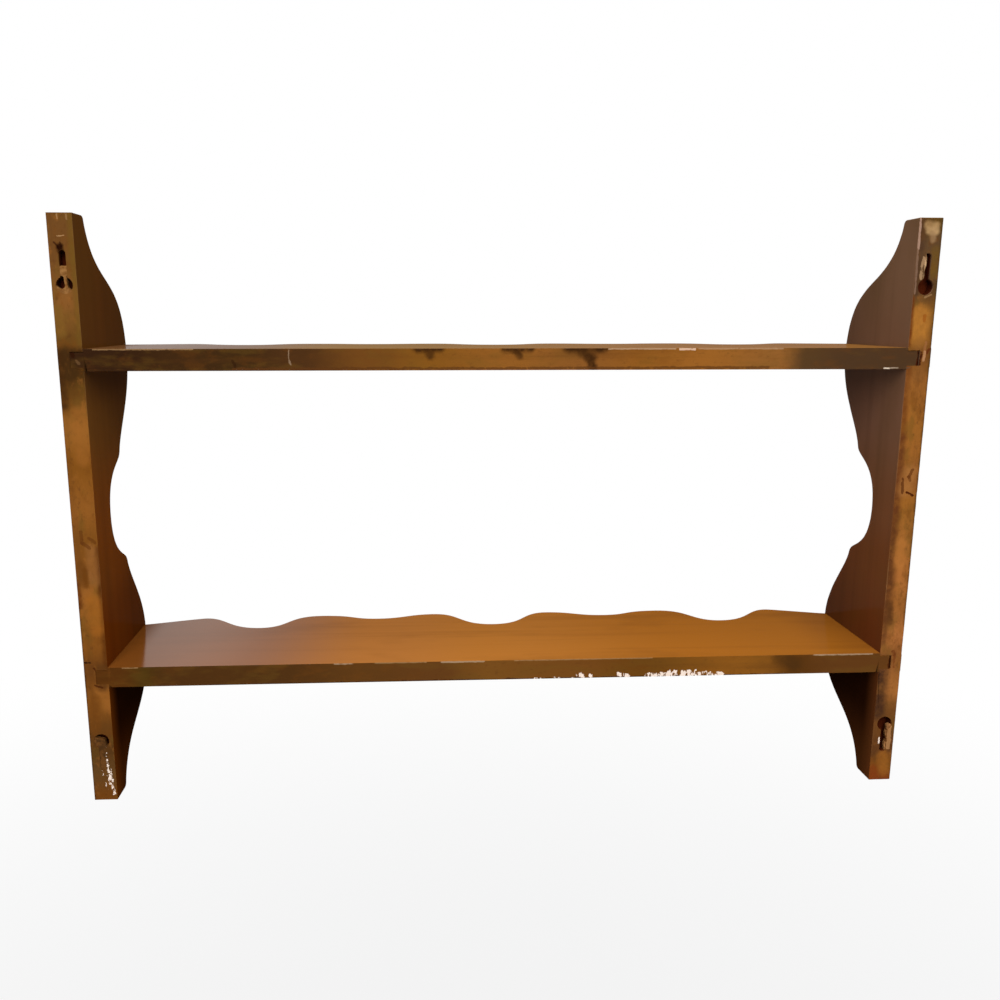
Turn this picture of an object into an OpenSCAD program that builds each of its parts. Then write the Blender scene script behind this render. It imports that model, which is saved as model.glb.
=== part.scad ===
// Wall plate rack: two scalloped shelves tongued into two scrolled side boards.
// Millimetres. X runs along the shelves, Y = 0 is the wall and the front faces -Y,
// Z is up. The origin is midway between the four keyholes, on the wall.
// Left and right are as seen from the front.

/* [Overall] */
// Width over the outer faces of the side boards
rack_width = 650; // [560:10:760]
// Height of the side boards
rack_height = 450; // [430:10:520]

/* [Side boards] */
// Thickness of each side board
side_thickness = 18; // [17:1:24]
// Depth of a side board at its ends
end_depth = 22.5; // [20:0.5:30]
// Depth of a side board where a shelf meets it
crest_depth = 105.5; // [104:0.5:120]
// Depth of a side board at the shoulders on either side of its waist
shoulder_depth = 67.5; // [60:0.5:75]
// Depth of a side board at the middle of its waist
waist_depth = 35; // [30:1:45]
// Height of the waist between its two shoulders
waist_height = 88; // [76:2:100]

/* [Shelves] */
// Thickness of each shelf
shelf_thickness = 16; // [14:1:18]
// Distance from each end of the side boards to the middle of the nearer shelf
shelf_from_end = 103; // [95:1:115]
// Depth of a shelf at its ends
shelf_end_depth = 104; // [96:0.5:105]
// Depth of a shelf in the dips of its front edge
dip_depth = 89.5; // [80:0.5:95]
// Depth of a shelf in the shallow hollows of its front edge
hollow_depth = 110; // [100:0.5:115]
// Depth of a shelf at the four middle crests of its front edge
shelf_crest_depth = 120.5; // [116:0.5:128]
// Depth of a shelf at the crest next to each end
end_crest_depth = 118.5; // [112:0.5:126]

/* [Joints] */
// Depth of the grooves in the inner faces of the side boards
groove_depth = 9.5; // [6:0.5:10]
// Thickness of the tongue on each end of a shelf
tongue_thickness = 11; // [8:0.5:12]
// Gap between the top of a tongue and its groove
tongue_play = 0.5; // [0.2:0.1:0.8]
// Gap between the end of the left tongue and the bottom of its groove
left_end_gap = 1.5; // [0.2:0.1:2]
// Gap between the end of the right tongue and the bottom of its groove
right_end_gap = 0.2; // [0.2:0.1:2]
// Wood left between the stopped end of a groove and the front of the side board
groove_stop = 10; // [8:1:20]

/* [Keyholes] */
// Height between an end of the side board and the centre of the nearer entry hole
keyhole_from_end = 50; // [45:1:60]
// Diameter of the entry hole and of the undercut behind the slot
entry_diameter = 12; // [9:0.5:12.5]
// Width of the slot that a screw shank slides along
slot_width = 5; // [4.5:0.1:6]
// Distance from the centre of the entry hole to the centre of the slot's end
slot_travel = 22; // [15:1:25]
// Thickness of wood left over the undercut
lip_thickness = 4.5; // [3:0.5:6]
// Full depth of the keyhole
keyhole_depth = 10; // [8:0.5:12]

/* [Nails] */
// Length of a nail
nail_length = 40; // [30:1:50]
// Diameter of the nail shank
nail_diameter = 2; // [1.6:0.2:2.6]
// Diameter of the lost head
head_diameter = 3; // [2.8:0.1:3.6]
// Depth that the heads are punched below the surface, filled with stopping
punch_depth = 2.5; // [1.5:0.5:3]

/* [Hidden] */

board_colour = [0.50, 0.31, 0.14];
shelf_colour = [0.60, 0.38, 0.17];
nail_colour = [0.55, 0.55, 0.56];
stopping_colour = [0.36, 0.22, 0.11];

half_height = rack_height / 2;
half_inside = rack_width / 2 - side_thickness;
half_waist = waist_height / 2;
shelf_level = half_height - shelf_from_end;
keyhole_level = half_height - keyhole_from_end;
groove_height = tongue_thickness + tongue_play;
groove_reach = crest_depth - groove_stop - groove_height / 2;
crest_level = shelf_level - 4;
end_corner = 4;
foot_depth = end_depth + 1;
head_height = 1.5;
point_length = 3;
point_diameter = 0.4;
shank_clearance = 0.05;
nail_depths = [16, 48, 80];
curve_steps = 11;
corner_steps = 3;
overcut = 1;

// Points where the curves of a side board's front edge meet, from the middle of its waist
// up to the corner at its top end. Each is [point, handle of the curve below, handle of
// the curve above], as [depth, height], with the handles measured from the point.
scroll = [
    [[waist_depth, 0], [0, 0], [0, 0.8 * half_waist]],
    [[shoulder_depth, half_waist], [-4, -8], [6, 20]],
    [[crest_depth, crest_level], [0, -31], [0, 74]],
    [[foot_depth, half_height - end_corner], [17, -52], [0, 0]]
];

// Points where the curves of a shelf's front edge meet, one bay apart from its middle to
// its end. Each is [depth, reach of the handle before, reach of the handle after], with
// the reaches as shares of a bay. The edge runs parallel to the wall at all but the last.
bay = half_inside / 6;
wave = [
    [dip_depth, 0, 0.59],
    [shelf_crest_depth, 0.47, 0.47],
    [hollow_depth, 0.47, 0.47],
    [shelf_crest_depth, 0.62, 0.62],
    [dip_depth, 0.53, 0.53],
    [end_crest_depth, 0.35, 0.12],
    [shelf_end_depth, 0.2, 0]
];
end_flare = 2;

// ---- Curves -------------------------------------------------------------

// Point at fraction t along the cubic curve with control points a, b, c, d
function curve_point(a, b, c, d, t) =
    pow(1 - t, 3) * a + 3 * pow(1 - t, 2) * t * b + 3 * (1 - t) * t * t * c + pow(t, 3) * d;

// Points of that curve, leaving out the last, so that curves join end to end
function curve(a, b, c, d, steps = curve_steps) =
    [for (i = [0 : steps - 1]) curve_point(a, b, c, d, i / steps)];

// Points in reverse order with their second coordinate turned over
function turned_over(points) =
    [for (i = [len(points) - 1 : -1 : 0]) [points[i][0], -points[i][1]]];

// ---- Side boards --------------------------------------------------------
// Drawn lying flat, inner face down: depth from the wall along x, height along y.

function scroll_stretch(from, to) =
    curve(from[0], from[0] + from[2], to[0] + to[1], to[0]);

// Front edge from the middle of the waist up to the top end, as [depth, height]
function upper_front() =
    [for (i = [0 : len(scroll) - 2]) each scroll_stretch(scroll[i], scroll[i + 1])];

// Rounded corner where the front edge runs out at the top end
function end_round() = [
    for (k = [0 : corner_steps])
        let (a = 90 * k / corner_steps)
        [foot_depth - end_corner * (1 - cos(a)), half_height - end_corner * (1 - sin(a))]
];

function side_outline() =
    let (top_half = concat(upper_front(), end_round(), [[0, half_height]]))
    concat(
        turned_over([for (i = [1 : len(top_half) - 1]) top_half[i]]),
        top_half
    );

// Cut for one keyhole in the rear edge, its slot running up from the entry hole
module keyhole_cut() {
    neck = slot_width / 2;
    entry = entry_diameter / 2;
    undercut_height = keyhole_depth - lip_thickness;
    rotate([0, 90, 0]) {
        translate([0, 0, -overcut]) cylinder(r = entry, h = keyhole_depth + overcut, $fn = 48);
        translate([0, slot_travel, -overcut]) cylinder(r = neck, h = lip_thickness + 2 * overcut, $fn = 32);
        translate([-neck, 0, -overcut]) cube([slot_width, slot_travel, lip_thickness + 2 * overcut]);
        translate([0, slot_travel, lip_thickness]) cylinder(r = entry, h = undercut_height, $fn = 48);
        translate([-entry, 0, lip_thickness]) cube([entry_diameter, slot_travel, undercut_height]);
    }
}

// Cut for the tongue of one shelf: open at the rear edge, stopped short of the front
module groove_cut() {
    middle = tongue_play / 2;
    translate([-overcut, middle - groove_height / 2, -overcut])
        cube([groove_reach + overcut, groove_height, groove_depth + overcut]);
    translate([groove_reach, middle, -overcut])
        cylinder(d = groove_height, h = groove_depth + overcut, $fn = 48);
}

// Clearance for a punched nail through the side board and into the shelf end
module nail_hole() {
    head_r = head_diameter / 2 + shank_clearance;
    translate([0, 0, -overcut]) cylinder(r = head_r, h = punch_depth + head_height + overcut, $fn = 24);
    cylinder(r = nail_diameter / 2 + shank_clearance, h = punch_depth + nail_length + overcut, $fn = 24);
}

module side_board() {
    difference() {
        linear_extrude(side_thickness) polygon(side_outline());
        for (end = [-1, 1]) {
            translate([0, end * shelf_level, 0]) groove_cut();
            translate([0, end * keyhole_level, side_thickness / 2])
                mirror([0, end > 0 ? 0 : 1, 0]) keyhole_cut();
            for (depth = nail_depths)
                translate([depth, end * shelf_level, side_thickness]) mirror([0, 0, 1]) nail_hole();
        }
    }
}

module left_side_board() {
    color(board_colour) translate([-half_inside, 0, 0]) rotate([90, 0, -90]) side_board();
}

module right_side_board() {
    mirror([1, 0, 0]) left_side_board();
}

// ---- Shelves ------------------------------------------------------------
// Drawn as seen from above, with the depth from the wall along y.

// Curve over bay i, as [x, depth], with the last handle turned out a little at the end
function front_stretch(i) =
    let (from = wave[i], to = wave[i + 1], flare = i == len(wave) - 2 ? end_flare : 0)
    curve([i * bay, from[0]],
          [(i + from[2]) * bay, from[0]],
          [(i + 1 - to[1]) * bay, to[0] + flare],
          [(i + 1) * bay, to[0]]);

// Front edge from the middle to the right end
function half_front() = [for (i = [0 : len(wave) - 2]) each front_stretch(i)];

function shelf_outline() =
    let (front = half_front(), corner = [half_inside, shelf_end_depth])
    concat(
        [[-half_inside, 0], [half_inside, 0], corner],
        [for (i = [len(front) - 1 : -1 : 0]) front[i]],
        [for (i = [1 : len(front) - 1]) [-front[i][0], front[i][1]]],
        [[-corner[0], corner[1]]]
    );

// Tongue along the end of a shelf, sunk a little into the shelf so that the two are one
module tongue(side, end_gap) {
    tongue_length = groove_depth - end_gap;
    translate([side * (half_inside + (tongue_length - overcut) / 2), -groove_reach / 2, 0])
        cube([tongue_length + overcut, groove_reach, tongue_thickness], center = true);
}

module shelf(level) {
    difference() {
        translate([0, 0, level]) {
            mirror([0, 1, 0]) translate([0, 0, -shelf_thickness / 2])
                linear_extrude(shelf_thickness) polygon(shelf_outline());
            tongue(-1, left_end_gap);
            tongue(1, right_end_gap);
        }
        for (side = [-1, 1]) at_nails(side, level) nail_hole();
    }
}

module top_shelf() {
    color(shelf_colour) shelf(shelf_level);
}

module bottom_shelf() {
    color(shelf_colour) shelf(-shelf_level);
}

// ---- Nails and stopping -------------------------------------------------

// Puts a child, drawn driving in along +z from the outer face, at each nail of one joint
module at_nails(side, level) {
    for (depth = nail_depths)
        translate([side * rack_width / 2, -depth, level]) rotate([0, -90 * side, 0]) children();
}

module nails(side, level) {
    color(nail_colour) at_nails(side, level) translate([0, 0, punch_depth]) {
        cylinder(d = head_diameter, h = head_height, $fn = 24);
        cylinder(d = nail_diameter, h = nail_length - point_length, $fn = 24);
        translate([0, 0, nail_length - point_length])
            cylinder(d1 = nail_diameter, d2 = point_diameter, h = point_length, $fn = 24);
    }
}

module stopping(side, level) {
    color(stopping_colour) at_nails(side, level)
        cylinder(d = head_diameter, h = punch_depth, $fn = 24);
}

module top_left_nails() { nails(-1, shelf_level); }
module top_right_nails() { nails(1, shelf_level); }
module bottom_left_nails() { nails(-1, -shelf_level); }
module bottom_right_nails() { nails(1, -shelf_level); }
module top_left_stopping() { stopping(-1, shelf_level); }
module top_right_stopping() { stopping(1, shelf_level); }
module bottom_left_stopping() { stopping(-1, -shelf_level); }
module bottom_right_stopping() { stopping(1, -shelf_level); }

left_side_board();
right_side_board();
top_shelf();
bottom_shelf();
top_left_nails();
top_right_nails();
bottom_left_nails();
bottom_right_nails();
top_left_stopping();
top_right_stopping();
bottom_left_stopping();
bottom_right_stopping();
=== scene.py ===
import math

import bmesh
import bpy
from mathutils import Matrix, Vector, kdtree, noise
from mathutils.geometry import interpolate_bezier, intersect_point_line


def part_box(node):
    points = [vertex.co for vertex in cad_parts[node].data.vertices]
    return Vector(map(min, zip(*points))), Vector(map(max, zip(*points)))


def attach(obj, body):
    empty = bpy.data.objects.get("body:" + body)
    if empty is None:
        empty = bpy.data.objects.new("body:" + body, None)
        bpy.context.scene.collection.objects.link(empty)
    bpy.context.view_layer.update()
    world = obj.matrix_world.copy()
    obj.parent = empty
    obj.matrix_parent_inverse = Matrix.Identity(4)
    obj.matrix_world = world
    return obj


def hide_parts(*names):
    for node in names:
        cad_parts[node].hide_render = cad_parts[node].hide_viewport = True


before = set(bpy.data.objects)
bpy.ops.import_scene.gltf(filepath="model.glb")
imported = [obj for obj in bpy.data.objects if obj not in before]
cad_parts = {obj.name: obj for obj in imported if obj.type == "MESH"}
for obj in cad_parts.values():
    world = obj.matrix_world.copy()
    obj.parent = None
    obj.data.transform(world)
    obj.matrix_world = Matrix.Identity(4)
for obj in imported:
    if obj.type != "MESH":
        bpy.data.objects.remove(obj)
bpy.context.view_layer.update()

# ---- Camera ------------------------------------------------------------------
# The rack is seen from behind, from a little above its middle and a little to one side
# of it, so the rear edges of all four boards face the camera.
MM = 0.001
CAMERA_PLACE = Vector((66.2, 703.3, 154.4)) * MM
CAMERA_TURN = (78.6233, -0.0212, 176.9655)
CAMERA_LENS = 33.85
CAMERA_SHIFT = (0.0342, 0.0040)

camera = bpy.data.objects.new("camera", bpy.data.cameras.new("camera"))
bpy.context.scene.collection.objects.link(camera)
bpy.context.scene.camera = camera
camera.location = CAMERA_PLACE
camera.rotation_euler = [math.radians(angle) for angle in CAMERA_TURN]
camera.data.lens = CAMERA_LENS
camera.data.shift_x, camera.data.shift_y = CAMERA_SHIFT
bpy.context.scene.view_settings.view_transform = "Standard"

# ---- Side boards -------------------------------------------------------------
# Two boards 18 mm thick, sawn to one scrolled pattern, then stained and lacquered brown.
# Their arrises are eased by hand. The rear edges are rubbed, blotched and nicked where the
# rack has been hung and taken down.
ARRIS = 1.3 * MM
ARRIS_STEPS = 3
ARRIS_SPACING = 2.5 * MM
SHARP = math.radians(40)
COPLANAR = math.radians(0.5)
WELD = 0.001 * MM
ARRIS_REACH = 1.05 * ARRIS
ARRIS_FACE = 8 * MM * MM
ARRIS_WAVER = ((60, 0.3), (260, 0.25))
LEAST_ARRIS = 0.5
KNOCK_WAVER = ((420, 1.0), (900, 0.6))
KNOCK_BIAS = 0.15
LONGEST_FACET = 25 * MM
SAME_CURVE = math.cos(math.radians(25))
STRAIGHT = 3
KEYHOLE_LEVEL = 175 * MM
KEYHOLE_REACH = 30 * MM
KEYHOLE_DEPTH = 10.5 * MM
KEYHOLE_HALF = 7 * MM
GROOVE_FRONT = 97 * MM
GROOVE_HALF = 7 * MM

side_low, side_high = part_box("right_side_board")
INSIDE = side_low.x
OUTSIDE = side_high.x
MIDDLE = (INSIDE + OUTSIDE) / 2
top_low, top_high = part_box("top_shelf")
SHELF_LEVEL = (top_low.z + top_high.z) / 2
SHELF_UNDER = -top_high.z


def in_a_cut(point):
    """Whether an edge belongs to a keyhole, a groove or a nail hole, and stays crisp."""
    on_joint = abs(abs(point.z) - SHELF_LEVEL) < GROOVE_HALF and -point.y < GROOVE_FRONT
    beside_keyhole = abs(abs(point.z) - KEYHOLE_LEVEL) < KEYHOLE_REACH
    inside_board = INSIDE + ARRIS < abs(point.x) < OUTSIDE - ARRIS
    return on_joint or (beside_keyhole and inside_board and -point.y < KEYHOLE_DEPTH)


def curve_along(edge, arrises):
    """The curve that an edge is a facet of, as the knots and handles of a Bezier. A
    neighbour more than STRAIGHT times as long is a straight run that the curve flows into."""
    ends = []
    length = edge.calc_length()
    for vert in edge.verts:
        onward = (edge.other_vert(vert).co - vert.co).normalized()
        heading = onward
        for other in vert.link_edges:
            if other == edge or other not in arrises:
                continue
            arriving = (vert.co - other.other_vert(vert).co).normalized()
            if arriving.dot(onward) > SAME_CURVE:
                beyond = other.calc_length()
                share = beyond / (length + beyond)
                is_straight = beyond > STRAIGHT * length
                heading = arriving if is_straight else onward.lerp(arriving, 1 - share)
        ends.append((vert.co.copy(), vert.co + heading.normalized() * length / 3))
    (start, leaving), (end, coming) = ends
    return start, leaving, coming, end


def round_out(bm, pair, curves):
    """Cuts a facet across, between its two long edges, and bows them to their curves."""
    cuts = int(pair[0].calc_length() / ARRIS_SPACING)
    if not cuts:
        return
    made = bmesh.ops.subdivide_edges(bm, edges=pair, cuts=cuts)
    for vert in (item for item in made["geom_inner"] if isinstance(item, bmesh.types.BMVert)):
        off = [intersect_point_line(vert.co, start, end) for start, _, _, end in curves]
        nearest = min((0, 1), key=lambda side: (off[side][0] - vert.co).length)
        points = interpolate_bezier(*curves[nearest], cuts + 2)
        vert.co = points[round(off[nearest][1] * (cuts + 1))]


def waver(place, layers):
    """Noise in layers, each its number of bumps to the metre and its share."""
    return sum(share * noise.noise(place * bumps) for bumps, share in layers)


def worn_copy(name, node, is_crisp, knocks):
    """Copies a packed board, rounds out its curved edges and eases its arrises, wider where
    they have been knocked. Each knock is its place in mm, its reach in mm, and how much
    wider it makes them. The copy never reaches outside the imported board's own box."""
    bm = bmesh.new()
    bm.from_mesh(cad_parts[node].data)
    bmesh.ops.remove_doubles(bm, verts=bm.verts, dist=WELD)
    bmesh.ops.dissolve_limit(bm, angle_limit=COPLANAR, verts=bm.verts, edges=bm.edges)

    def arrises():
        found = []
        for edge in bm.edges:
            middle = (edge.verts[0].co + edge.verts[1].co) / 2
            turned = len(edge.link_faces) == 2 and edge.calc_face_angle() > SHARP
            if turned and edge.is_convex and not is_crisp(middle):
                found.append(edge)
        return found

    sharp = arrises()
    facets = {edge: curve_along(edge, sharp) for edge in sharp
              if edge.calc_length() < LONGEST_FACET}
    for face in list(bm.faces):
        pair = [edge for edge in face.edges if edge in facets]
        if len(face.edges) == 4 and len(pair) == 2 and pair[0].verts[0] not in pair[1].verts:
            round_out(bm, pair, [facets[edge] for edge in pair])
    for edge in arrises():
        cuts = int(edge.calc_length() / ARRIS_SPACING)
        if cuts:
            bmesh.ops.subdivide_edges(bm, edges=[edge], cuts=cuts)
    sharp = arrises()
    corners = {vert.co.copy().freeze() for edge in sharp for vert in edge.verts}
    tree = kdtree.KDTree(len(corners))
    for index, corner in enumerate(corners):
        tree.insert(corner, index)
    tree.balance()
    bmesh.ops.bevel(bm, geom=sharp, offset=ARRIS, segments=ARRIS_STEPS, profile=0.5,
                    affect="EDGES", clamp_overlap=True)

    # Marks the arris bands, which the finishes paint lighter: partly wear, partly painted
    # highlight.
    arris_band = bm.verts.layers.float.new("arris_band")
    for vert in bm.verts:
        corner, _, away = tree.find(vert.co)
        if away > ARRIS_REACH:
            continue
        width = 1 + waver(corner, ARRIS_WAVER)
        for place, reach, size in knocks:
            near = 1 - (corner - Vector(place) * MM).length / (reach * MM)
            if near > 0:
                ragged = KNOCK_BIAS + waver(corner, KNOCK_WAVER)
                width += size * min(1, 2 * near) * max(0, ragged)
        vert.co = corner + (vert.co - corner) * max(LEAST_ARRIS, width)
        on_arris = all(face.calc_area() < ARRIS_FACE for face in vert.link_faces)
        vert[arris_band] = 1.0 if on_arris else 0.0
    low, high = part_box(node)
    for vert in bm.verts:
        vert.co = [min(max(at, least), most) for at, least, most in zip(vert.co, low, high)]
    for edge in bm.edges:
        edge.smooth = edge.is_manifold and edge.calc_face_angle() < SHARP
    for face in bm.faces:
        face.smooth = True
    mesh = bpy.data.meshes.new(name)
    bm.to_mesh(mesh)
    bm.free()
    board = bpy.data.objects.new(name, mesh)
    bpy.context.scene.collection.objects.link(board)
    normals = board.modifiers.new("flat_faces", "WEIGHTED_NORMAL")
    normals.keep_sharp = True
    normals.weight = 100
    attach(board, "root")
    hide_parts(node)
    return board


def tone(red, green, blue):
    """A colour given as display values from 0 to 255, as the linear values shaders use."""
    shares = [value / 255 for value in (red, green, blue)]
    return (*(s / 12.92 if s <= 0.04045 else ((s + 0.055) / 1.055) ** 2.4 for s in shares), 1)


def put(tree, kind, *values, out=0, **settings):
    """Adds a shader node, then sets or joins its inputs in order, leaving out each None."""
    made = tree.nodes.new("ShaderNode" + kind)
    for setting, value in settings.items():
        setattr(made, setting, value)
    for socket, value in zip(made.inputs, values):
        if isinstance(value, bpy.types.NodeSocket):
            tree.links.new(value, socket)
        elif value is not None:
            socket.default_value = value
    return made.outputs[out] if made.outputs else None


def over(tree, share, under, top):
    """Lays one colour over another, as strongly as share says."""
    values = [None] * 8
    values[0], values[6], values[7] = share, under, top
    return put(tree, "Mix", *values, out=2, data_type="RGBA")


def math_of(tree, how, *values):
    """One step of arithmetic on shader values."""
    return put(tree, "Math", *values, operation=how)


def fade(tree, value, start, end, low=0.0, high=1.0):
    """Goes smoothly from low to high as value goes from start to end."""
    return put(tree, "MapRange", value, start, end, low, high,
               interpolation_type="SMOOTHSTEP")


OFF_GRID = (0.37, 0.61, 0.23)
SPREAD = (0.3, 0.7)


def mottle(tree, place, stretch, detail=3.0, rough=0.55, out=0):
    """Noise from 0 to 1, nearly all of it within SPREAD, with stretch as the number of spots
    to the metre along each axis. OFF_GRID keeps the boards' faces off the noise's own grid."""
    scaled = put(tree, "VectorMath", place, stretch, OFF_GRID, operation="MULTIPLY_ADD")
    made = tree.nodes.new("ShaderNodeTexNoise")
    tree.links.new(scaled, made.inputs["Vector"])
    made.inputs["Scale"].default_value = 1.0
    made.inputs["Detail"].default_value = detail
    made.inputs["Roughness"].default_value = rough
    return made.outputs[out]


def shaken(tree, place, spots, reach):
    """The place moved about by noise, by up to reach in mm, so that marks look ragged."""
    cloud = mottle(tree, place, (spots, spots, spots), detail=5.0, rough=0.65, out=1)
    shift = put(tree, "VectorMath", cloud, (0.5, 0.5, 0.5), operation="SUBTRACT")
    reaches = Vector(reach) * 2 * MM
    return put(tree, "VectorMath", shift, reaches, place, operation="MULTIPLY_ADD")


CORE = 0.25


def along_line(tree, place, start, end, half_width):
    """A mask that is 1 along a line on the wall plane, for the CORE of its half width, and
    fades out at the rest. The ends are (x, z) and all sizes are in mm."""
    start = Vector((start[0], 0, start[1])) * MM
    run = Vector((end[0], 0, end[1])) * MM - start
    moved = put(tree, "VectorMath", place, start, operation="SUBTRACT")
    share = put(tree, "VectorMath", moved, run / run.length_squared,
                operation="DOT_PRODUCT", out=1)
    share = put(tree, "Clamp", share)
    nearest = put(tree, "VectorMath", run, None, None, share, operation="SCALE")
    away = put(tree, "VectorMath", moved, nearest, operation="DISTANCE", out=1)
    return fade(tree, away, half_width * MM, half_width * CORE * MM)


def graded(tree, value, stops):
    """Runs through a row of colours. Each stop is its place in mm and its colour."""
    colour = stops[0][1]
    for (before, _), (after, paint) in zip(stops, stops[1:]):
        colour = over(tree, fade(tree, value, before * MM, after * MM), colour, paint)
    return colour


WIDEST_NICK = 2.9
NICK_SPOTS = (300, 300, 300)
NICK_OUTLINE = (0.4, 0.65)
BLOTCH_SPOTS = (170, 170, 170)
BLOTCH_STRENGTH = 0.9


def marked(tree, place, colour, marks):
    """Paints nicks, scuffs, painted highlights and thin painted shade with broken outlines, and
    blotches, which are wider than WIDEST_NICK, with soft ones. Each mark is the two ends of
    its middle line, its half width in mm, its colour and its strength."""
    broken = mottle(tree, place, NICK_SPOTS, detail=4.0, rough=0.65)
    broken = fade(tree, broken, *SPREAD, 0.5, 1.3)
    soft = mottle(tree, place, BLOTCH_SPOTS, detail=5.0, rough=0.65)
    soft = fade(tree, soft, *SPREAD, 0.7, 1.2)
    for start, end, half_width, paint, strength in marks:
        mask = along_line(tree, place, start, end, half_width)
        if half_width > WIDEST_NICK:
            level = math_of(tree, "MULTIPLY", mask, soft)
            share = math_of(tree, "MULTIPLY", level, strength * BLOTCH_STRENGTH)
        else:
            level = math_of(tree, "MULTIPLY", mask, broken)
            share = fade(tree, level, *NICK_OUTLINE, 0, strength)
        colour = over(tree, share, colour, paint)
    return colour


PRIMER = tone(246, 228, 214)
FLAKE_OUTLINE = (0.97, 1.02)
FLAKE_PULL = 0.5


def flaked(tree, place, colour, patches, spots):
    """Flakes of lost finish, down to a pale primer. Each patch is the two ends of its middle
    line, its half width in mm, and how thickly the flakes lie."""
    cloud = mottle(tree, place, spots, rough=0.6)
    for start, end, half_width, thickness in patches:
        mask = along_line(tree, place, start, end, half_width)
        level = math_of(tree, "MULTIPLY_ADD", mask, thickness * FLAKE_PULL, cloud)
        colour = over(tree, fade(tree, level, *FLAKE_OUTLINE), colour, PRIMER)
    return colour


STREAKS_ALONG, STREAKS_ACROSS = 2.5, 70
PORES_ALONG, PORES_ACROSS = 20, 700


def wood(name, along):
    """Starts a board's material: its tree, the place, the normal, and two grades of grain
    that are drawn out along one axis, wide streaks and fine pores, counted to the metre."""
    material = bpy.data.materials.new(name)
    material.use_nodes = True
    tree = material.node_tree
    tree.nodes.clear()
    where = tree.nodes.new("ShaderNodeTexCoord")
    place, normal = where.outputs["Object"], where.outputs["Normal"]
    wide = Vector((STREAKS_ACROSS, STREAKS_ACROSS, STREAKS_ACROSS))
    wide[along] = STREAKS_ALONG
    fine = Vector((PORES_ACROSS, PORES_ACROSS, PORES_ACROSS))
    fine[along] = PORES_ALONG
    streaks = mottle(tree, place, wide, detail=5.0, rough=0.6)
    pores = mottle(tree, place, fine, detail=4.0, rough=0.6)
    return material, tree, place, normal, streaks, pores


PORE_DEPTH = 0.12 * MM
PORE_STRENGTH = 0.3
LACQUER_ROUGHNESS = 0.12


def lacquer(tree, colour, pores, gloss, roughness):
    """Ends a board's material: a thin lacquer, thinned by wear, with the pores showing through.
    """
    bump = put(tree, "Bump")
    bump.node.inputs["Strength"].default_value = PORE_STRENGTH
    bump.node.inputs["Distance"].default_value = PORE_DEPTH
    tree.links.new(pores, bump.node.inputs["Height"])
    surface = tree.nodes.new("ShaderNodeBsdfPrincipled")
    surface.inputs["Specular IOR Level"].default_value = 0.0
    surface.inputs["Coat Roughness"].default_value = LACQUER_ROUGHNESS
    tree.links.new(colour, surface.inputs["Base Color"])
    tree.links.new(roughness, surface.inputs["Roughness"])
    tree.links.new(gloss, surface.inputs["Coat Weight"])
    tree.links.new(bump, surface.inputs["Normal"])
    put(tree, "OutputMaterial", surface.outputs["BSDF"])


HONEY = tone(150, 94, 39)
AMBER = tone(130, 79, 28)
OLIVE = tone(104, 76, 28)
RUSSET = tone(112, 65, 21)
UMBER = tone(86, 51, 23)
DARK = tone(60, 35, 14)
BLACK_BROWN = tone(38, 17, 8)
# Painted shade, laid on the inside of the side boards below the bottom shelf.
UNDER_SHELF_SHADE = tone(24, 8, 2)
BARE = tone(176, 138, 94)
PALE = tone(206, 178, 146)
GRIME = tone(66, 46, 18)
SCRATCH = tone(92, 50, 17)
HANDLED = tone(94, 54, 26)
# Painted shade in the gaps where the tongues meet their grooves.
TONGUE_GAP_SHADE = tone(62, 22, 6)
# Painted shade for the walls inside the keyholes.
KEYHOLE_SHADE = tone(72, 27, 10)

FACE_DARKENS = (-20 * MM, -110 * MM)
# Where the painted shade below the bottom shelf begins, deepens away from the rear edge, and
# thins towards the foot.
SHADE_STARTS = SHELF_UNDER - 3 * MM
SHADE_DEEPENS = (0, -20 * MM)
SHADE_THINS = (-215 * MM, -160 * MM)
KEYHOLE_WALL = (-0.6 * MM, -2.5 * MM)
FACE_DRIFT = (14, 14, 10)
EDGE_CLOUDS = (75, 75, 45)
EDGE_BLOTCHES = (120, 120, 75)
EDGE_FRECKLES = (380, 380, 240)
EDGE_FLAKES = (600, 600, 380)
APART = (3, 5, 7)


def face_stain_and_shade(tree, x, y, z, side_on, streaks, drift, tones):
    """The colour of a side board's faces: stained tones that carry painted light, darker towards
    the front, and painted shade that lays the inside below the bottom shelf almost black. Also
    gives that inside as a mask."""
    stain_and_painted_light = graded(tree, z, tones)
    stain_and_painted_light = over(tree, fade(tree, streaks, 0.42, 0.72, high=0.16), stain_and_painted_light, DARK)
    stain_and_painted_light = over(tree, fade(tree, drift, 0.4, 0.7, high=0.25), stain_and_painted_light, OLIVE)
    stain_and_painted_light = over(tree, fade(tree, y, *FACE_DARKENS, high=0.35), stain_and_painted_light, DARK)
    inward = fade(tree, math_of(tree, "MULTIPLY", side_on, x), -0.1, -0.2)
    below = math_of(tree, "MULTIPLY", fade(tree, z, SHELF_UNDER, SHADE_STARTS), inward)
    # Painted shade below the bottom shelf, strongest near the shelf and away from the rear edge.
    painted_shade = math_of(tree, "MULTIPLY", below, fade(tree, y, *SHADE_DEEPENS, 0.2, 0.9))
    painted_shade = math_of(tree, "MULTIPLY", painted_shade, fade(tree, z, *SHADE_THINS, 0.6, 1.0))
    return over(tree, painted_shade, stain_and_painted_light, UNDER_SHELF_SHADE), below


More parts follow.
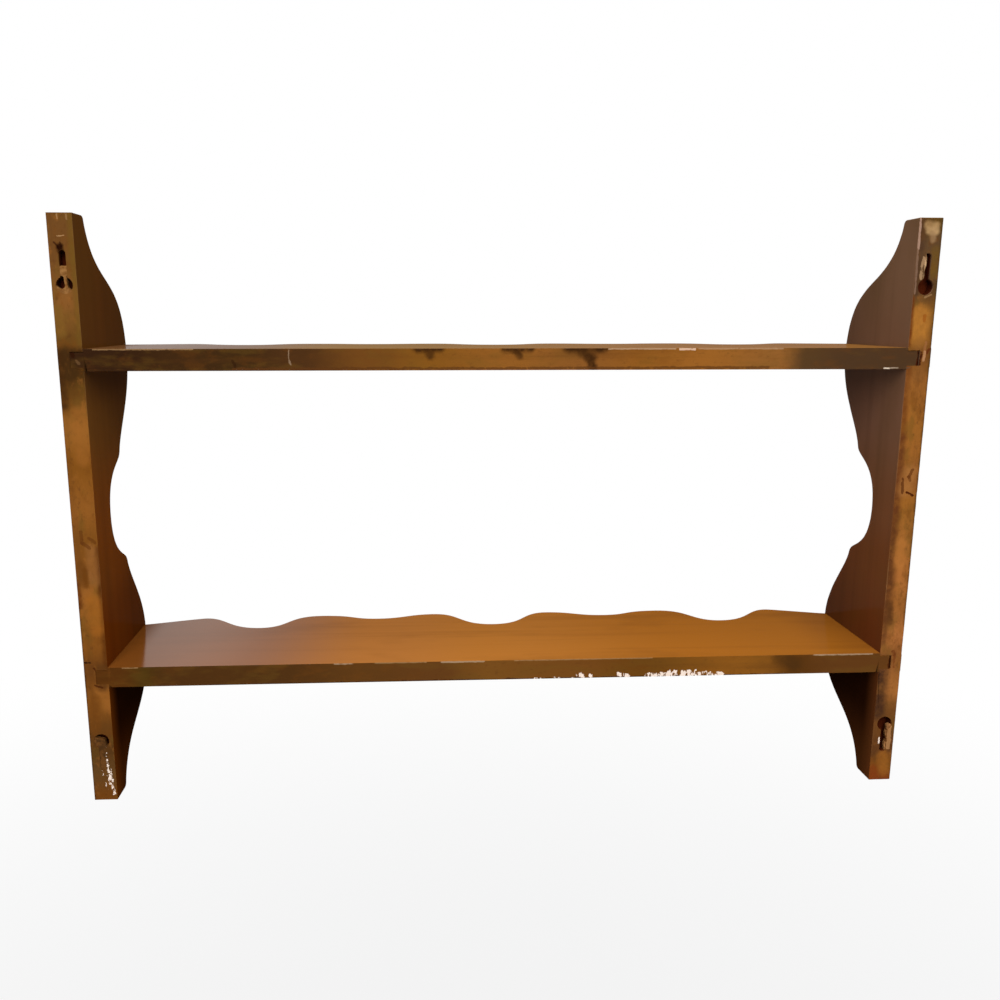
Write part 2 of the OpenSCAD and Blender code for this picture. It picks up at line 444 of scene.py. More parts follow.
def rubbed_edge(tree, place, streaks, tones, marks):
    """A side board's rear edge: tones that change along its height with ragged limits,
    clouds, blotches and freckles of other browns, and its own marks."""
    ragged = shaken(tree, place, 55, (3, 1, 9))
    edge = graded(tree, put(tree, "SeparateXYZ", ragged, out=2), tones)
    clouds = mottle(tree, put(tree, "VectorMath", place, APART, operation="ADD"),
                    EDGE_CLOUDS, detail=4.0, rough=0.6)
    edge = over(tree, fade(tree, clouds, 0.5, 0.66, high=0.45), edge, OLIVE)
    blotches = mottle(tree, place, EDGE_BLOTCHES, detail=4.0, rough=0.6)
    edge = over(tree, fade(tree, blotches, 0.5, 0.7, high=0.5), edge, RUSSET)
    edge = over(tree, fade(tree, blotches, 0.44, 0.3, high=0.4), edge, HONEY)
    edge = over(tree, fade(tree, streaks, 0.5, 0.75, high=0.4), edge, UMBER)
    freckles = mottle(tree, place, EDGE_FRECKLES, detail=4.0, rough=0.65)
    edge = over(tree, fade(tree, freckles, 0.52, 0.75, high=0.5), edge, UMBER)
    return marked(tree, shaken(tree, place, 90, (1.5, 1, 2)), edge, marks)


def keyhole_wall(tree, x, y):
    """A mask of the walls inside the keyholes, near the middle of a board's edge."""
    deep = fade(tree, y, *KEYHOLE_WALL)
    off_middle = math_of(tree, "SUBTRACT", math_of(tree, "ABSOLUTE", x), MIDDLE)
    off_middle = math_of(tree, "ABSOLUTE", off_middle)
    within = fade(tree, off_middle, KEYHOLE_HALF + MM, KEYHOLE_HALF)
    return math_of(tree, "MULTIPLY", deep, within)


def board_finish(name, face_stain_and_light, gloss, edge_tones, marks, rubs_and_painted_light, patches):
    """The finish of a side board: brown-stained faces with painted light and painted shade, a
    lighter, scuffed rear edge, and scuffs, painted highlights and flakes that also cross its
    arrises. The inside below the bottom shelf is dull."""
    material, tree, place, normal, streaks, pores = wood(name, 2)
    x, y, z = (put(tree, "SeparateXYZ", place, out=axis) for axis in range(3))
    side_on, back_on = (put(tree, "SeparateXYZ", normal, out=axis) for axis in range(2))
    drift = mottle(tree, place, FACE_DRIFT)
    stain_and_painted_light, below = face_stain_and_shade(tree, x, y, z, side_on, streaks, drift, face_stain_and_light)
    edge = rubbed_edge(tree, place, streaks, edge_tones, marks)
    colour = over(tree, fade(tree, back_on, 0.3, 0.75), stain_and_painted_light, edge)
    # The arrises painted lighter, partly wear and partly painted highlight.
    arris_wear_and_highlight = put(tree, "Attribute", out=2, attribute_name="arris_band")
    arris_wear_and_highlight = math_of(tree, "MULTIPLY", arris_wear_and_highlight, fade(tree, drift, 0.45, 0.62, high=0.2))
    colour = over(tree, arris_wear_and_highlight, colour, BARE)
    colour = marked(tree, shaken(tree, place, 260, (0.4, 0.4, 1.5)), colour, rubs_and_painted_light)
    colour = flaked(tree, place, colour, patches, EDGE_FLAKES)
    # Painted shade on the walls inside the keyholes.
    colour = over(tree, keyhole_wall(tree, x, y), colour, KEYHOLE_SHADE)
    sheen = math_of(tree, "MULTIPLY", fade(tree, below, 0, 1, 1, 0), gloss)
    lacquer(tree, colour, pores, sheen, fade(tree, drift, *SPREAD, 0.45, 0.65))
    return material


RIGHT_KNOCKS = [
    ((307, 0, -206), 18, 1.6),
    ((325, 0, 160), 60, 0.5),
    ((325, 0, -60), 80, 0.6),
]
RIGHT_GLOSS = 0.01
# Tones up the right board's faces, partly stain and partly painted light: the band around 80 mm
# is lighter to offset the top shelf's shadow.
RIGHT_FACE_STAIN_AND_LIGHT = [
    (200, tone(122, 72, 24)), (110, tone(122, 74, 28)), (80, tone(146, 92, 34)),
    (0, tone(154, 84, 24)), (-40, tone(150, 80, 18)), (-80, tone(134, 66, 10)),
    (-110, tone(130, 64, 12)),
]
RIGHT_EDGE_TONES = [
    (200, tone(104, 68, 32)), (165, tone(126, 82, 38)), (134, tone(98, 66, 26)),
    (126, DARK), (112, tone(66, 42, 16)), (100, tone(92, 60, 22)), (72, tone(140, 90, 36)),
    (44, tone(124, 76, 24)), (10, tone(138, 86, 34)), (-12, tone(120, 74, 26)),
    (-44, tone(122, 74, 28)), (-58, HONEY), (-92, AMBER), (-116, tone(104, 62, 24)),
    (-140, tone(128, 78, 28)), (-166, tone(100, 62, 24)), (-184, tone(84, 54, 24)),
    (-204, tone(98, 68, 34)), (-222, RUSSET),
]
RIGHT_MARKS = [
    ((326.6, 225), (326.6, -45), 2.8, tone(62, 44, 18), 0.8),
    ((326, -46), (324.5, -64), 4.8, tone(88, 42, 12), 0.9),
    ((326.4, -60), (326.4, -225), 3.2, DARK, 0.9),
    ((325, 126), (324.6, 90), 7.5, DARK, 0.85),
    ((317, 127), (317, 114), 9.0, tone(62, 40, 17), 0.75),
    ((307.6, 222), (307.6, 136), 5.0, OLIVE, 0.75),
    ((307, -20), (307, -112), 4.6, tone(82, 42, 12), 0.85),
    ((322, 158), (321, 142), 6.0, tone(118, 84, 34), 0.7),
    ((314, 82), (313, 50), 9.0, HONEY, 0.55),
    ((312.6, -20), (311.6, -44), 6.5, tone(146, 96, 50), 0.6),
    ((320.5, -32), (319.5, -46), 6.0, tone(96, 56, 20), 0.45),
    ((318, -36), (317.6, -48), 3.2, tone(100, 56, 14), 0.6),
    ((314, -60), (313, -82), 9.0, tone(156, 94, 32), 0.7),
    ((312, -132), (309, -146), 9.0, HONEY, 0.85),
    ((318, -140), (320, -165), 6.5, RUSSET, 0.7),
    ((312, -115.5), (312, -129), 7.5, tone(90, 54, 22), 0.95),
    # The next two lines are painted shade in the gaps at the bottom joint.
    ((317.4, -114.6), (316.4, -116), 1.2, tone(70, 32, 8), 0.9),
    ((317.6, -128.5), (312, -130.6), 1.3, tone(70, 32, 8), 0.85),
    ((318.6, -6), (318.2, -14.5), 2.3, SCRATCH, 0.6),
    ((318.2, -14.5), (313.6, -18.6), 2.3, SCRATCH, 0.6),
    ((313.2, -11), (309.4, -14.5), 2.3, SCRATCH, 0.6),
    ((326.5, -109.6), (319.5, -109.8), 1.0, BLACK_BROWN, 0.9),
    ((320.6, 205), (317.6, 201), 1.1, tone(56, 28, 12), 0.8),
    ((316.8, 205), (316.6, 201), 0.9, tone(56, 28, 12), 0.75),
    # Painted shade where the keyhole's slot runs on past its cut end.
    ((317.2, 202), (316.6, 198.6), 3.8, tone(30, 9, 3), 1.1),
    ((318.8, 209.6), (313.6, 209.6), 0.5, BARE, 0.7),
    ((317.5, 224), (317.2, 220.5), 1.0, BARE, 0.45),
    ((311, 224), (310.8, 220.5), 1.2, BARE, 0.3),
]
RIGHT_RUBS = [
    ((325.6, -21.4), (325.6, -22.6), 0.9, PRIMER, 0.8),
]
RIGHT_PATCHES = [
    ((314, -190.5), (311.4, -211), 3.4, 1.0),
    ((311.6, -198), (309.4, -220), 3.0, 0.98),
    ((316.5, -196), (312.6, -216), 5.0, 0.7),
    ((312.6, -180), (313.4, -190), 2.6, 0.76),
]
LEFT_KNOCKS = [
    ((-325, 0, 25), 14, 1.8),
    ((-325, 0, -5), 8, 1.2),
    ((-307, 0, 205), 30, 0.8),
]
LEFT_GLOSS = 0.035
# Tones up the left board's faces, partly stain and partly painted light: the pale pinkish upper
# tones carry a painted reflection, and the band around 80 mm is lighter to offset the top
# shelf's shadow.
LEFT_FACE_STAIN_LIGHT_AND_REFLECTION = [
    (200, tone(142, 106, 78)), (120, tone(136, 100, 74)), (80, tone(150, 106, 80)),
    (0, tone(140, 88, 52)), (-40, tone(136, 78, 38)), (-110, tone(120, 66, 32)),
]
LEFT_EDGE_TONES = [
    (222, tone(84, 62, 24)), (206, tone(90, 66, 42)), (172, tone(86, 62, 36)),
    (160, tone(120, 80, 34)), (132, tone(126, 80, 32)), (126, tone(112, 70, 32)),
    (112, tone(146, 92, 40)), (70, tone(152, 96, 38)), (48, HONEY), (30, tone(138, 84, 38)),
    (8, tone(150, 95, 37)), (-20, tone(158, 100, 44)), (-50, tone(170, 106, 50)),
    (-74, tone(152, 95, 43)), (-100, tone(170, 106, 54)), (-118, tone(140, 86, 42)),
    (-145, tone(164, 104, 50)), (-168, tone(112, 70, 32)), (-200, tone(96, 58, 28)),
    (-210, tone(120, 70, 24)), (-225, tone(126, 60, 20)),
]
LEFT_MARKS = [
    ((-326.4, 225), (-326.4, -90), 4.2, GRIME, 0.9),
    ((-326.6, -90), (-326.6, -225), 2.8, GRIME, 0.7),
    ((-308, 222), (-308, 172), 7.0, tone(74, 50, 34), 0.85),
    ((-314.8, 154), (-314.2, 138), 11, tone(166, 109, 44), 1.1),
    ((-316, 133), (-316, 110), 8.5, tone(120, 78, 38), 0.5),
    ((-307, 166), (-307, 132), 3.0, tone(98, 46, 16), 0.85),
    ((-307, 114), (-307, 60), 6.5, tone(104, 56, 22), 0.8),
    ((-307, 60), (-307.2, -12), 7.8, tone(98, 54, 26), 0.95),
    ((-307, -14), (-307, -44), 7.6, HANDLED, 1.0),
    ((-307.2, -44), (-307.4, -84), 9.6, HANDLED, 1.0),
    ((-307, -84), (-307, -103), 7.0, HANDLED, 0.9),
    ((-307, -124), (-308.4, -164), 12, tone(74, 45, 27), 1.0),
    ((-318, 34), (-314.6, 20), 9.0, tone(160, 106, 54), 0.75),
    ((-316, -22), (-315.6, -40), 7.0, tone(176, 112, 52), 0.6),
    ((-313.4, 219.6), (-319.6, 219.4), 4.2, tone(166, 132, 88), 0.95),
    ((-315.2, 216), (-319.4, 215.6), 4.6, tone(176, 142, 98), 1.0),
    ((-317.6, 213.5), (-318.2, 209.5), 3.6, tone(150, 118, 82), 0.8),
    ((-320.8, 202), (-320.6, 184), 5.0, OLIVE, 0.7),
    ((-312.4, 196), (-311.8, 181.6), 1.9, tone(158, 126, 92), 0.85),
    ((-316.4, 167.8), (-321, 169.6), 1.1, BARE, 0.4),
    ((-320.2, 134), (-319.8, 128), 1.6, tone(150, 98, 58), 0.6),
    ((-319.8, 126.6), (-319.4, 120.4), 1.9, tone(176, 128, 90), 0.8),
    ((-323, 128.4), (-321.8, 126), 1.5, tone(90, 36, 12), 0.8),
    # Painted shade in the gap at the tongue's end.
    ((-317, 126.4), (-317, 117.6), 1.7, TONGUE_GAP_SHADE, 0.95),
    ((-317.5, 154), (-317, 150), 2.2, tone(140, 76, 22), 0.7),
    ((-315.8, 18.2), (-321.3, 15.7), 1.5, tone(74, 32, 8), 1.0),
    ((-319.5, 36), (-316.4, 30.5), 2.2, tone(96, 50, 17), 0.75),
    ((-316.4, 31), (-318.5, 28), 1.8, tone(96, 50, 17), 0.65),
    ((-312.2, 29), (-312.6, 17.5), 1.7, tone(80, 38, 12), 0.75),
    ((-311, -72), (-313, -88), 4.5, UMBER, 0.7),
    ((-317.5, -112.8), (-318.6, -115.6), 2.4, tone(104, 52, 20), 0.8),
    ((-319.2, -117.6), (-319, -126), 1.5, tone(112, 58, 22), 0.7),
    ((-312.4, -187.6), (-312.6, -191.8), 1.3, PRIMER, 0.95),
    ((-320.8, -177.5), (-320.6, -196), 2.8, tone(170, 122, 78), 0.85),
    ((-317, -203), (-319, -217), 7.5, tone(150, 92, 34), 0.85),
    ((-309.5, -215), (-311, -224), 6.0, tone(130, 60, 20), 0.8),
]
LEFT_RUBS = [
    ((-307.6, 224), (-307.8, 203), 1.5, tone(170, 136, 116), 0.8),
    ((-307.6, 203), (-308.2, 170), 1.2, tone(150, 118, 98), 0.45),
]

right_board = worn_copy("worn_right_side_board", "right_side_board", in_a_cut,
                        RIGHT_KNOCKS)
right_board.data.materials.append(board_finish(
    "right_board_finish", RIGHT_FACE_STAIN_AND_LIGHT, RIGHT_GLOSS, RIGHT_EDGE_TONES, RIGHT_MARKS,
    RIGHT_RUBS, RIGHT_PATCHES))
left_board = worn_copy("worn_left_side_board", "left_side_board", in_a_cut,
                       LEFT_KNOCKS)
left_board.data.materials.append(board_finish(
    "left_board_finish", LEFT_FACE_STAIN_LIGHT_AND_REFLECTION, LEFT_GLOSS, LEFT_EDGE_TONES, LEFT_MARKS,
    LEFT_RUBS, []))

# ---- Keyhole repairs ---------------------------------------------------------
# Three keyholes are partly stopped with brown filler, pressed in by hand and sunk a little
# below the rear edge. The fourth has a splinter of its own wood torn across its slot.
REPAIR_SINK = 0.35
REPAIR_DEPTH = 4 * MM
REPAIR_EASE = 0.3 * MM
REPAIR_STEPS = 5
REPAIR_RELIEF = 0.18 * MM
REPAIR_LUMPS = ((600, 1.0), (1500, 0.5))


def repair(name, outline, finish):
    """Fills the part of a keyhole inside a smooth curve through (x, z) points in mm, from
    REPAIR_SINK mm below the rear edge. Its surface is lumpy, as filler dries and as wood
    tears."""
    bm = bmesh.new()
    points = [Vector((x, -REPAIR_SINK, z)) * MM for x, z in outline]
    rim = []
    for index, start in enumerate(points):
        before, end = points[index - 1], points[(index + 1) % len(points)]
        after = points[(index + 2) % len(points)]
        leaving, coming = start + (end - before) / 6, end - (after - start) / 6
        rim += interpolate_bezier(start, leaving, coming, end, REPAIR_STEPS)[:-1]
    face = bm.faces.new([bm.verts.new(point) for point in rim])
    rim = list(face.edges)
    grown = bmesh.ops.extrude_face_region(bm, geom=[face], use_keep_orig=True)
    back = [item for item in grown["geom"] if isinstance(item, bmesh.types.BMVert)]
    bmesh.ops.translate(bm, verts=back, vec=(0, -REPAIR_DEPTH, 0))
    bmesh.ops.recalc_face_normals(bm, faces=bm.faces)
    bmesh.ops.bevel(bm, geom=rim, offset=REPAIR_EASE, segments=2, profile=0.5,
                    affect="EDGES", clamp_overlap=True)
    bmesh.ops.triangulate(bm, faces=bm.faces)
    bmesh.ops.subdivide_edges(bm, edges=bm.edges, cuts=2, use_grid_fill=True)
    bm.normal_update()
    for vert in bm.verts:
        vert.co += vert.normal * waver(vert.co, REPAIR_LUMPS) * REPAIR_RELIEF
    for face in bm.faces:
        face.smooth = True
    mesh = bpy.data.meshes.new(name)
    bm.to_mesh(mesh)
    bm.free()
    mesh.materials.append(finish)
    piece = bpy.data.objects.new(name, mesh)
    bpy.context.scene.collection.objects.link(piece)
    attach(piece, "root")


GRAIN_DEPTH = 0.1 * MM
GRAIN_STRENGTH = 0.4


def plain_finish(name, low, high, stretch, roughness, metal=0.0):
    """A mottled finish between two tones for a small part."""
    material = bpy.data.materials.new(name)
    material.use_nodes = True
    tree = material.node_tree
    surface = tree.nodes["Principled BSDF"]
    place = put(tree, "TexCoord", out=3)
    cloud = mottle(tree, place, stretch, detail=4.0)
    colour = over(tree, fade(tree, cloud, 0.35, 0.65), low, high)
    tree.links.new(colour, surface.inputs["Base Color"])
    dullness = fade(tree, cloud, *SPREAD, roughness, roughness + 0.2)
    tree.links.new(dullness, surface.inputs["Roughness"])
    surface.inputs["Metallic"].default_value = metal
    surface.inputs["Specular IOR Level"].default_value = 0.05
    bump = put(tree, "Bump")
    bump.node.inputs["Distance"].default_value = GRAIN_DEPTH
    bump.node.inputs["Strength"].default_value = GRAIN_STRENGTH
    tree.links.new(cloud, bump.node.inputs["Height"])
    tree.links.new(bump, surface.inputs["Normal"])
    return material


light_filler = plain_finish("light_filler", tone(112, 72, 32), tone(146, 104, 58),
                            (300, 300, 300), roughness=0.7)
dark_filler = plain_finish("dark_filler", tone(72, 46, 20), tone(104, 66, 30),
                           (300, 300, 300), roughness=0.7)
tan_filler = plain_finish("tan_filler", tone(132, 88, 50), tone(172, 122, 76),
                          (260, 260, 260), roughness=0.7)
torn_wood = plain_finish("torn_wood", tone(112, 76, 46), tone(190, 156, 116),
                         (500, 500, 160), roughness=0.6)
repair("top_right_keyhole_filler",
       [(319, 188), (319, 184), (318.4, 181.6), (316.6, 180.8), (316.1, 177), (316, 173.6),
        (318.6, 172.6), (321, 173.8), (323, 175.6), (323, 168), (309, 168), (310.6, 171.2),
        (312.4, 172.4), (313.8, 174), (314.2, 178), (314, 181), (313, 182), (313, 188)],
       light_filler)
repair("bottom_right_keyhole_filler",
       [(323, -171.4), (320, -172.2), (316, -173), (313.4, -174.4), (312.6, -178.5),
        (311, -179.5), (311.5, -182.5), (313, -183), (313, -200), (319, -200),
        (319, -183), (322, -181.5), (323, -178)],
       dark_filler)
repair("bottom_left_keyhole_filler",
       [(-318.4, -177.2), (-320.2, -175.8), (-323, -177), (-323, -182), (-319.8, -182.8),
        (-319.2, -200), (-318.2, -200), (-317.5, -194), (-318.6, -189), (-317.8, -184),
        (-318.6, -180.6)],
       tan_filler)
repair("top_left_keyhole_splinter",
       [(-312, 200), (-314.4, 199), (-315.4, 195), (-315.2, 190), (-314.2, 186),
        (-314.4, 182), (-312, 181)],
       torn_wood)

# ---- Shelves -----------------------------------------------------------------
# Two boards 16 mm thick with a scalloped front edge. Each end is cut back to a tongue that
# sits in a side board's groove. The tops are rubbed to a bright amber, and the lower
# rear arris of the bottom shelf has lost its finish in flecks.
SHEEN_GROWS = (100 * MM, 270 * MM)
SHEEN_STOPS = (310 * MM, 285 * MM)
TOP_DRIFT = (10, 22, 22)
REAR_BLOTCHES = (60, 130, 130)
REAR_CLOUDS = (30, 90, 90)
REAR_FRECKLES = (240, 400, 400)
REAR_FLAKES = (520, 520, 210)


def on_a_tongue(point):
    """Whether an edge belongs to the end of a shelf, and stays crisp."""
    return abs(point.x) > INSIDE - ARRIS


def shelf_top(tree, x, streaks, drift, tones):
    """The amber top of a shelf, with tones that change along it and redder streaks."""
    top = graded(tree, x, tones)
    top = over(tree, fade(tree, streaks, 0.46, 0.75, high=0.3), top, RUSSET)
    return over(tree, fade(tree, drift, 0.5, 0.7, high=0.2), top, RUSSET)


def shelf_edge(tree, place, streaks, tones, blots_and_gap_shade):
    """The edges of a shelf: tones that change along it with ragged limits, blotches, clouds
    and freckles of other browns, its own marks, and painted shade in the joint gaps."""
    ragged = shaken(tree, place, 45, (12, 1, 2))
    edge = graded(tree, put(tree, "SeparateXYZ", ragged), tones)
    blotches = mottle(tree, place, REAR_BLOTCHES, detail=4.0, rough=0.6)
    edge = over(tree, fade(tree, blotches, 0.5, 0.7, high=0.22), edge, RUSSET)
    clouds = mottle(tree, place, REAR_CLOUDS, rough=0.6)
    edge = over(tree, fade(tree, clouds, 0.5, 0.66, high=0.25), edge, OLIVE)
    edge = over(tree, fade(tree, streaks, 0.5, 0.75, high=0.4), edge, UMBER)
    freckles = mottle(tree, place, REAR_FRECKLES, detail=4.0, rough=0.65)
    edge = over(tree, fade(tree, freckles, 0.55, 0.75, high=0.35), edge, UMBER)
    return marked(tree, shaken(tree, place, 110, (3, 1, 1.5)), edge, blots_and_gap_shade)


def shelf_finish(name, top_tones, gloss_levels, edge_tones, blots_and_gap_shade, rubs_and_painted_light, patches):
    """The finish of a shelf: its top and its edges, scuffs, painted highlights and flakes that
    also cross its arrises, and lacquer that is glossier towards the right end, but not at the
    very end."""
    material, tree, place, _, streaks, pores = wood(name, 0)
    x = put(tree, "SeparateXYZ", place)
    flat_normal = put(tree, "NewGeometry", out=3)
    up_on = put(tree, "SeparateXYZ", flat_normal, out=2)
    drift = mottle(tree, place, TOP_DRIFT)
    top = shelf_top(tree, x, streaks, drift, top_tones)
    edge = shelf_edge(tree, place, streaks, edge_tones, blots_and_gap_shade)
    facing_up = fade(tree, up_on, 0.5, 0.85)
    colour = over(tree, facing_up, edge, top)
    # The arrises painted lighter, partly wear and partly painted highlight.
    arris_wear_and_highlight = put(tree, "Attribute", out=2, attribute_name="arris_band")
    arris_wear_and_highlight = math_of(tree, "MULTIPLY", arris_wear_and_highlight, fade(tree, drift, 0.42, 0.6, 0.05, 0.35))
    colour = over(tree, arris_wear_and_highlight, colour, BARE)
    colour = marked(tree, shaken(tree, place, 260, (1.5, 0.4, 0.5)), colour, rubs_and_painted_light)
    colour = flaked(tree, place, colour, patches, REAR_FLAKES)
    gloss = fade(tree, x, *SHEEN_GROWS, *gloss_levels)
    gloss = math_of(tree, "MULTIPLY", gloss, fade(tree, x, *SHEEN_STOPS, 0.15, 1.0))
    gloss = math_of(tree, "MULTIPLY", gloss, facing_up)
    lacquer(tree, colour, pores, gloss, fade(tree, drift, *SPREAD, 0.45, 0.6))
    return material


TOP_KNOCKS = [
    ((70, 0, 130), 12, 1.0),
    ((40, 0, 130), 8, 0.8),
]
TOP_GLOSS = (0.06, 0.27)
TOP_TONES = [
    (220, tone(112, 74, 42)), (120, tone(144, 106, 50)), (-200, tone(152, 104, 52)),
]
TOP_EDGE_TONES = [
    (280, tone(50, 30, 16)), (240, tone(60, 38, 18)), (200, tone(60, 39, 18)),
    (150, tone(72, 45, 22)), (100, tone(106, 66, 26)), (56, tone(124, 79, 26)),
    (0, tone(136, 86, 34)), (-60, tone(130, 82, 36)), (-104, tone(136, 85, 31)),
    (-150, tone(146, 92, 36)), (-206, tone(138, 90, 42)), (-228, tone(82, 58, 33)),
    (-262, tone(74, 52, 33)),
]
TOP_BLOTS_AND_GAP_SHADE = [
    ((65, 130.6), (48, 130.6), 5.6, DARK, 1.0),
    ((58, 128.5), (55, 124.5), 4.4, DARK, 0.8),
    ((0, 130.6), (-19, 130.6), 5.6, DARK, 1.0),
    ((-8, 128.5), (-11, 124.5), 4.4, DARK, 0.8),
    ((-48, 130.6), (-74, 130.6), 6.6, DARK, 1.1),
    ((-57, 128), (-65, 123), 6.0, DARK, 0.95),
    ((-63, 123), (-67, 115), 4.6, DARK, 1.0),
    ((200, 121), (198, 117), 2.0, BLACK_BROWN, 0.5),
    ((158.5, 129), (158, 118), 0.8, PALE, 0.25),
    # Painted shade in the gap at the tongue's end.
    ((-315.2, 127), (-315.2, 117), 1.5, TONGUE_GAP_SHADE, 0.95),
    ((200, 115.4), (-200, 115.4), 1.8, UMBER, 0.7),
]
TOP_RUBS_AND_PAINTED_LIGHT = [
    # Painted shade in the gap above the tongue's end.
    ((314.6, 126.6), (314.2, 124.8), 2.2, tone(44, 20, 8), 0.9),
    ((312, 121.6), (310.2, 119.8), 1.9, tone(112, 82, 52), 0.5),
    # The pale lines below, along the rear arrises, are partly wear and partly painted highlight.
    ((300, 129.6), (228, 129.6), 0.9, BARE, 0.45),
    ((-78, 129.6), (-128, 129.6), 1.0, PALE, 0.45),
    ((-132, 129.2), (-143, 129.2), 1.4, tone(232, 198, 172), 0.7),
    ((-146, 129.6), (-210, 129.6), 1.0, PALE, 0.3),
    ((-289.6, 114.6), (-293.4, 114.6), 0.9, tone(226, 210, 190), 0.8),
    ((-293, 114.8), (-300, 115), 0.8, tone(206, 186, 162), 0.45),
]
BOTTOM_KNOCKS = [((x, 0, -130), 18, 0.9) for x in (-66, -98, -122, -140, -158, -172)]
BOTTOM_GLOSS = (0.03, 0.68)
BOTTOM_TONES = [
    (300, tone(128, 74, 26)), (210, tone(146, 88, 42)), (100, tone(187, 119, 54)),
    (0, tone(190, 120, 46)), (-160, tone(178, 108, 30)), (-250, tone(174, 106, 30)),
    (-300, tone(158, 96, 30)),
]
BOTTOM_EDGE_TONES = [
    (300, tone(84, 48, 16)), (280, tone(72, 50, 16)), (262, tone(76, 47, 20)),
    (170, tone(78, 49, 21)), (110, tone(92, 58, 24)), (50, tone(96, 59, 26)),
    (10, tone(116, 75, 30)), (-60, tone(114, 71, 28)), (-110, tone(106, 65, 21)),
    (-190, tone(136, 85, 28)), (-215, tone(128, 80, 27)), (-236, tone(88, 53, 18)),
    (-270, tone(98, 60, 26)),
]
BOTTOM_BLOTS_AND_GAP_SHADE = [
    ((230, -130.5), (-230, -130.5), 2.2, DARK, 0.8),
    ((-224, -116), (-238, -122), 9, tone(76, 48, 20), 0.8),
    # Painted shade in the gap at the tongue's end.
    ((-315.2, -118), (-315.2, -126), 1.2, tone(74, 32, 10), 0.8),
]
BOTTOM_RUBS_AND_HIGHLIGHTS = [
    # Pale lines along the upper rear arris, partly wear and partly painted highlight.
    ((296, -114.5), (284, -114.5), 0.8, BARE, 0.5),
    ((132, -114.5), (118, -114.5), 1.0, PALE, 0.4),
    ((48, -114.6), (14, -114.6), 1.1, PALE, 0.45),
    ((100, -114.3), (60, -114.3), 0.8, BARE, 0.5),
    ((-10, -114.3), (-120, -114.3), 0.8, BARE, 0.5),
    ((-252, -114.4), (-300, -114.4), 1.1, PALE, 0.45),
]
BOTTOM_PATCHES = [
    ((-116, -128.8), (-162, -128.4), 5.0, 1.02),
    ((-134, -127), (-158, -126.6), 4.6, 1.0),
    ((-165, -128), (-177, -129), 4.6, 0.98),
    ((-93, -127.5), (-101, -129), 4.2, 0.98),
    ((-60, -127), (-71, -129), 4.6, 1.0),
    ((-26, -130), (-60, -130), 2.6, 0.8),
]

top_shelf = worn_copy("worn_top_shelf", "top_shelf", on_a_tongue, TOP_KNOCKS)
top_shelf.data.materials.append(shelf_finish(
    "top_shelf_finish", TOP_TONES, TOP_GLOSS, TOP_EDGE_TONES, TOP_BLOTS_AND_GAP_SHADE, TOP_RUBS_AND_PAINTED_LIGHT, []))
bottom_shelf = worn_copy("worn_bottom_shelf", "bottom_shelf", on_a_tongue, BOTTOM_KNOCKS)
bottom_shelf.data.materials.append(shelf_finish(
    "bottom_shelf_finish", BOTTOM_TONES, BOTTOM_GLOSS, BOTTOM_EDGE_TONES, BOTTOM_BLOTS_AND_GAP_SHADE,
    BOTTOM_RUBS_AND_HIGHLIGHTS, BOTTOM_PATCHES))

# ---- Nails and stopping ------------------------------------------------------
# Three lost-head nails hold each joint from outside. They are bright steel, punched
# under the surface and hidden by dabs of brown stopping.
nail_finish = plain_finish("nail_wire", tone(120, 118, 114), tone(168, 166, 160),
                           (60, 900, 900), roughness=0.3, metal=1.0)
stopping_finish = plain_finish("brown_stopping", tone(70, 42, 22), tone(98, 62, 34),
                               (800, 800, 800), roughness=0.6)
for joint in ("top_left", "top_right", "bottom_left", "bottom_right"):
    for part, finish in (("nails", nail_finish), ("stopping", stopping_finish)):
        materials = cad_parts[f"{joint}_{part}"].data.materials
        materials.clear()
        materials.append(finish)

# ---- Light, background and floor ---------------------------------------------
# A broad soft lamp behind the camera and a weaker one overhead, under a sky that darkens
# towards the horizon. The floor is well below the rack, which hangs in the air.
LAMP_COLOUR = (1.0, 0.97, 0.94)
SKY_COLOUR = (0.93, 0.96, 1.0, 1)
WHITE = (1, 1, 1, 1)
FLOOR_GREY = (0.4, 0.4, 0.4, 1)
FLOOR_LEVEL = -0.95
FLOOR_SIZE = 14.0
SHADOW_REACH = (0.3, 2.5)


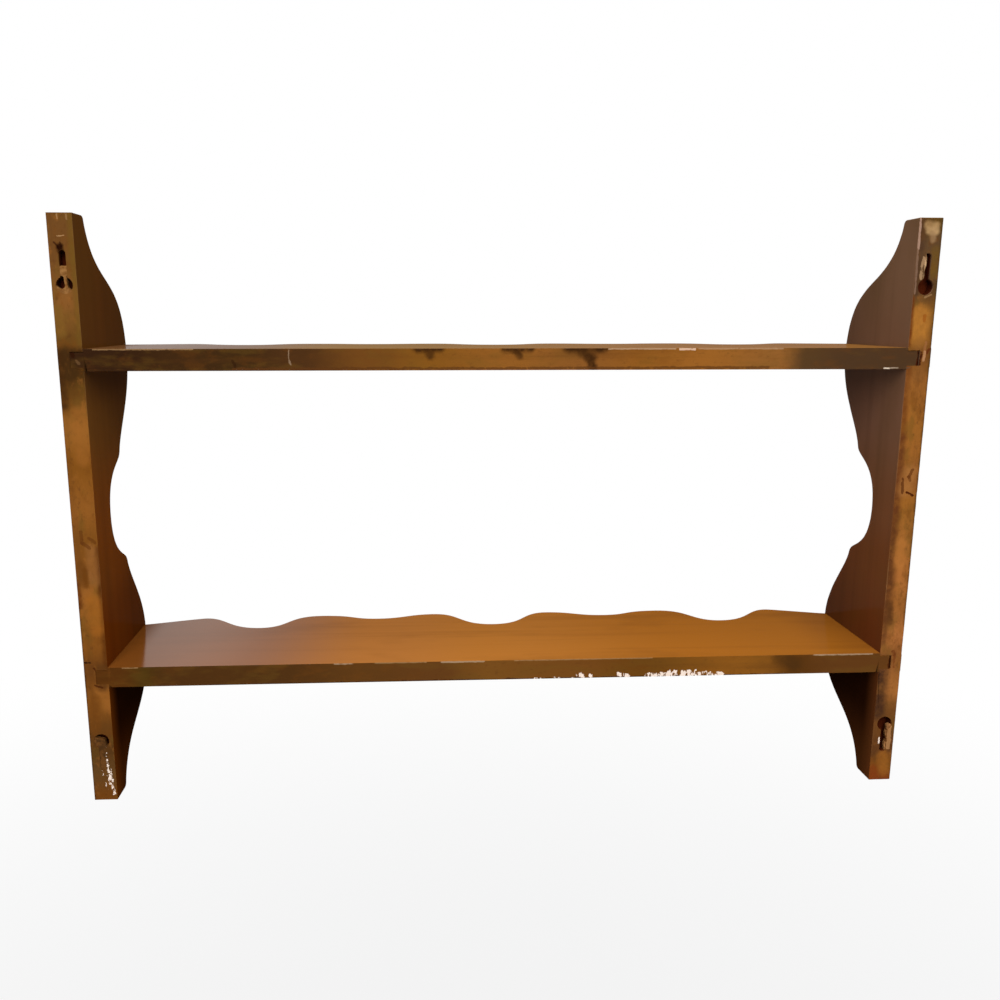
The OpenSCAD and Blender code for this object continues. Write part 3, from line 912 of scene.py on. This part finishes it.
def lamp(name, place, size, watts):
    """A square lamp that faces the middle of the rack and isn't seen itself."""
    light = bpy.data.lights.new(name, "AREA")
    light.size = size
    light.energy = watts
    light.color = LAMP_COLOUR
    made = bpy.data.objects.new(name, light)
    bpy.context.scene.collection.objects.link(made)
    made.location = place
    made.rotation_euler = (-Vector(place)).to_track_quat("-Z", "Y").to_euler()
    made.visible_camera = False


def seen_directly(tree):
    """1 for what the camera sees, also through a gloss or a glass, and 0 for other light."""
    rays = tree.nodes.new("ShaderNodeLightPath")
    seen = math_of(tree, "MAXIMUM", rays.outputs["Is Camera Ray"], rays.outputs["Is Glossy Ray"])
    return math_of(tree, "MAXIMUM", seen, rays.outputs["Is Transmission Ray"])


lamp("key_lamp", (0.15, 1.75, 1.0), size=1.3, watts=41)
lamp("overhead_lamp", (0.0, 0.7, 1.9), size=1.3, watts=12)

world = bpy.data.worlds.new("studio")
bpy.context.scene.world = world
world.use_nodes = True
sky = world.node_tree
sky.nodes.clear()
height = put(sky, "SeparateXYZ", put(sky, "TexCoord"), out=2)
soft = put(sky, "Background", SKY_COLOUR, fade(sky, height, -0.1, 0.9, 0.08, 0.4))
white = put(sky, "Background", WHITE, 1.0)
put(sky, "OutputWorld", put(sky, "MixShader", seen_directly(sky), soft, white))

floor_mesh = bpy.data.meshes.new("floor")
half = FLOOR_SIZE / 2
floor_mesh.from_pydata([(-half, -half, 0), (half, -half, 0), (half, half, 0), (-half, half, 0)],
                       [], [(0, 1, 2, 3)])
floor = bpy.data.objects.new("floor", floor_mesh)
bpy.context.scene.collection.objects.link(floor)
floor.location.z = FLOOR_LEVEL
paper = bpy.data.materials.new("pale_floor")
paper.use_nodes = True
tree = paper.node_tree
tree.nodes.clear()
away = put(tree, "VectorMath", put(tree, "TexCoord", out=3), operation="LENGTH", out=1)
shadow_fades = fade(tree, away, *SHADOW_REACH, 0.85, 1.0)
share = math_of(tree, "MULTIPLY", seen_directly(tree), shadow_fades)
lit = put(tree, "BsdfDiffuse", FLOOR_GREY)
glow = put(tree, "Emission", WHITE, 1.0)
put(tree, "OutputMaterial", put(tree, "MixShader", share, lit, glow))
floor_mesh.materials.append(paper)
